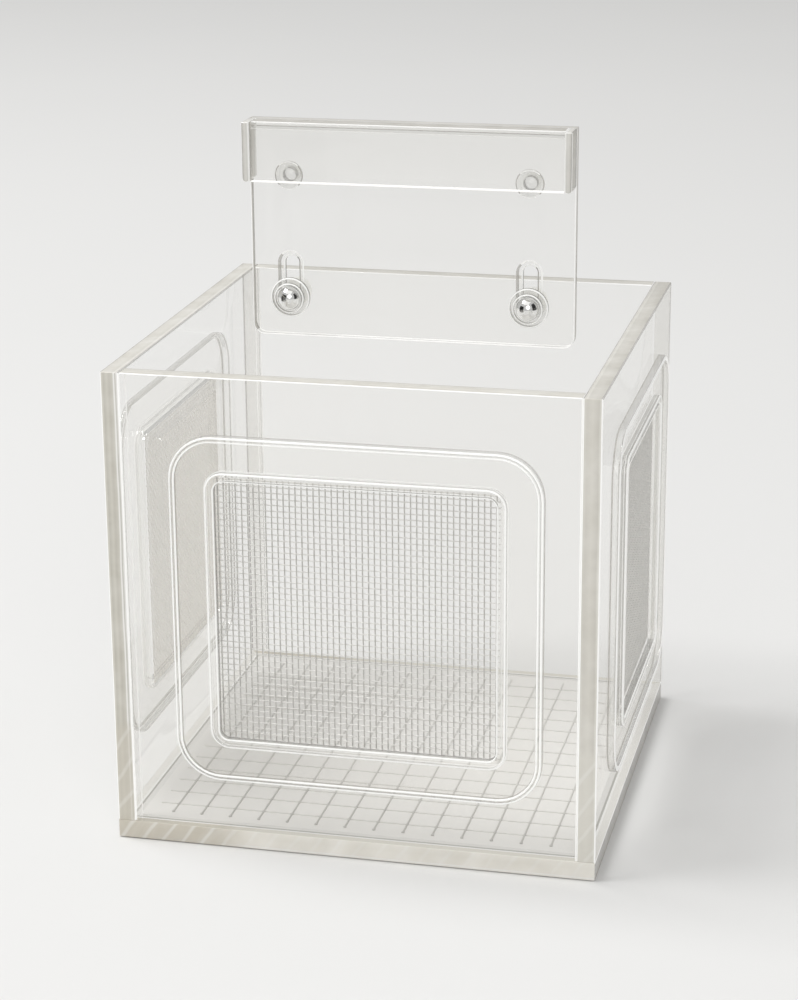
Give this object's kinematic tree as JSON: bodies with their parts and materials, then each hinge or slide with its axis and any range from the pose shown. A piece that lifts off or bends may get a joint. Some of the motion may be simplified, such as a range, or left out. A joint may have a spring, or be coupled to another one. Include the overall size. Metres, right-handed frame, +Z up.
{
  "type": "queen cage",
  "caption": "Open-topped clear sheet box with wire-cloth windows in the front and sides, a ruled floor, and a hook hanger that slides on clamp screws behind the rim.",
  "frame": {"origin": "middle of the floor panel's underside", "axes": "+X to the right seen from the front, +Y from the front window to the hanger, +Z up"},
  "size_m": [0.1346, 0.1323, 0.1755],
  "materials": {
    "clear_sheet": "clear cast sheet, polished edges",
    "floor_sheet": "clear sheet, lightly greyed",
    "clear_moulding": "clear moulded, glossy",
    "wire_cloth": "woven fine wire, satin",
    "grid_ink": "printed line, matt",
    "screw_steel": "turned stainless",
    "bright_nut": "polished dome"
  },
  "bodies": {
    "cage": {"floor_panel": "floor_sheet", "front_wall": "clear_sheet", "back_wall": "clear_sheet", "left_wall": "clear_sheet", "right_wall": "clear_sheet", "floor_grid": "grid_ink", "front_window_frame": "clear_moulding", "front_mesh": "wire_cloth", "front_mesh_bezel": "clear_moulding", "left_window_frame": "clear_moulding", "left_mesh": "wire_cloth", "left_mesh_bezel": "clear_moulding", "right_window_frame": "clear_moulding", "right_mesh": "wire_cloth", "right_mesh_bezel": "clear_moulding", "left_clamp_screw": "screw_steel", "right_clamp_screw": "screw_steel"},
    "hanger": {"hanger_plate": "clear_sheet", "hanger_top": "clear_sheet", "hanger_lip": "clear_sheet", "hanger_left_cap": "clear_sheet", "hanger_right_cap": "clear_sheet", "left_catch_button": "clear_moulding", "right_catch_button": "clear_moulding"},
    "left_knob": {"left_clamp_knob": "clear_moulding", "left_cap_nut": "bright_nut"},
    "right_knob": {"right_clamp_knob": "clear_moulding", "right_cap_nut": "bright_nut"}
  },
  "joints": [
    {"name": "hanger_slide", "type": "slide", "parent": "cage", "child": "hanger", "axis": [0, 0, 1], "range_m": [-0.01, 0]},
    {"name": "left_knob_turn", "type": "hinge", "parent": "cage", "child": "left_knob", "pos_m": [-0.0475, 0.0566, 0.1225], "axis": [0, -1, 0], "continuous": true},
    {"name": "right_knob_turn", "type": "hinge", "parent": "cage", "child": "right_knob", "pos_m": [0.0245, 0.0566, 0.1225], "axis": [0, -1, 0], "continuous": true}
  ]
}
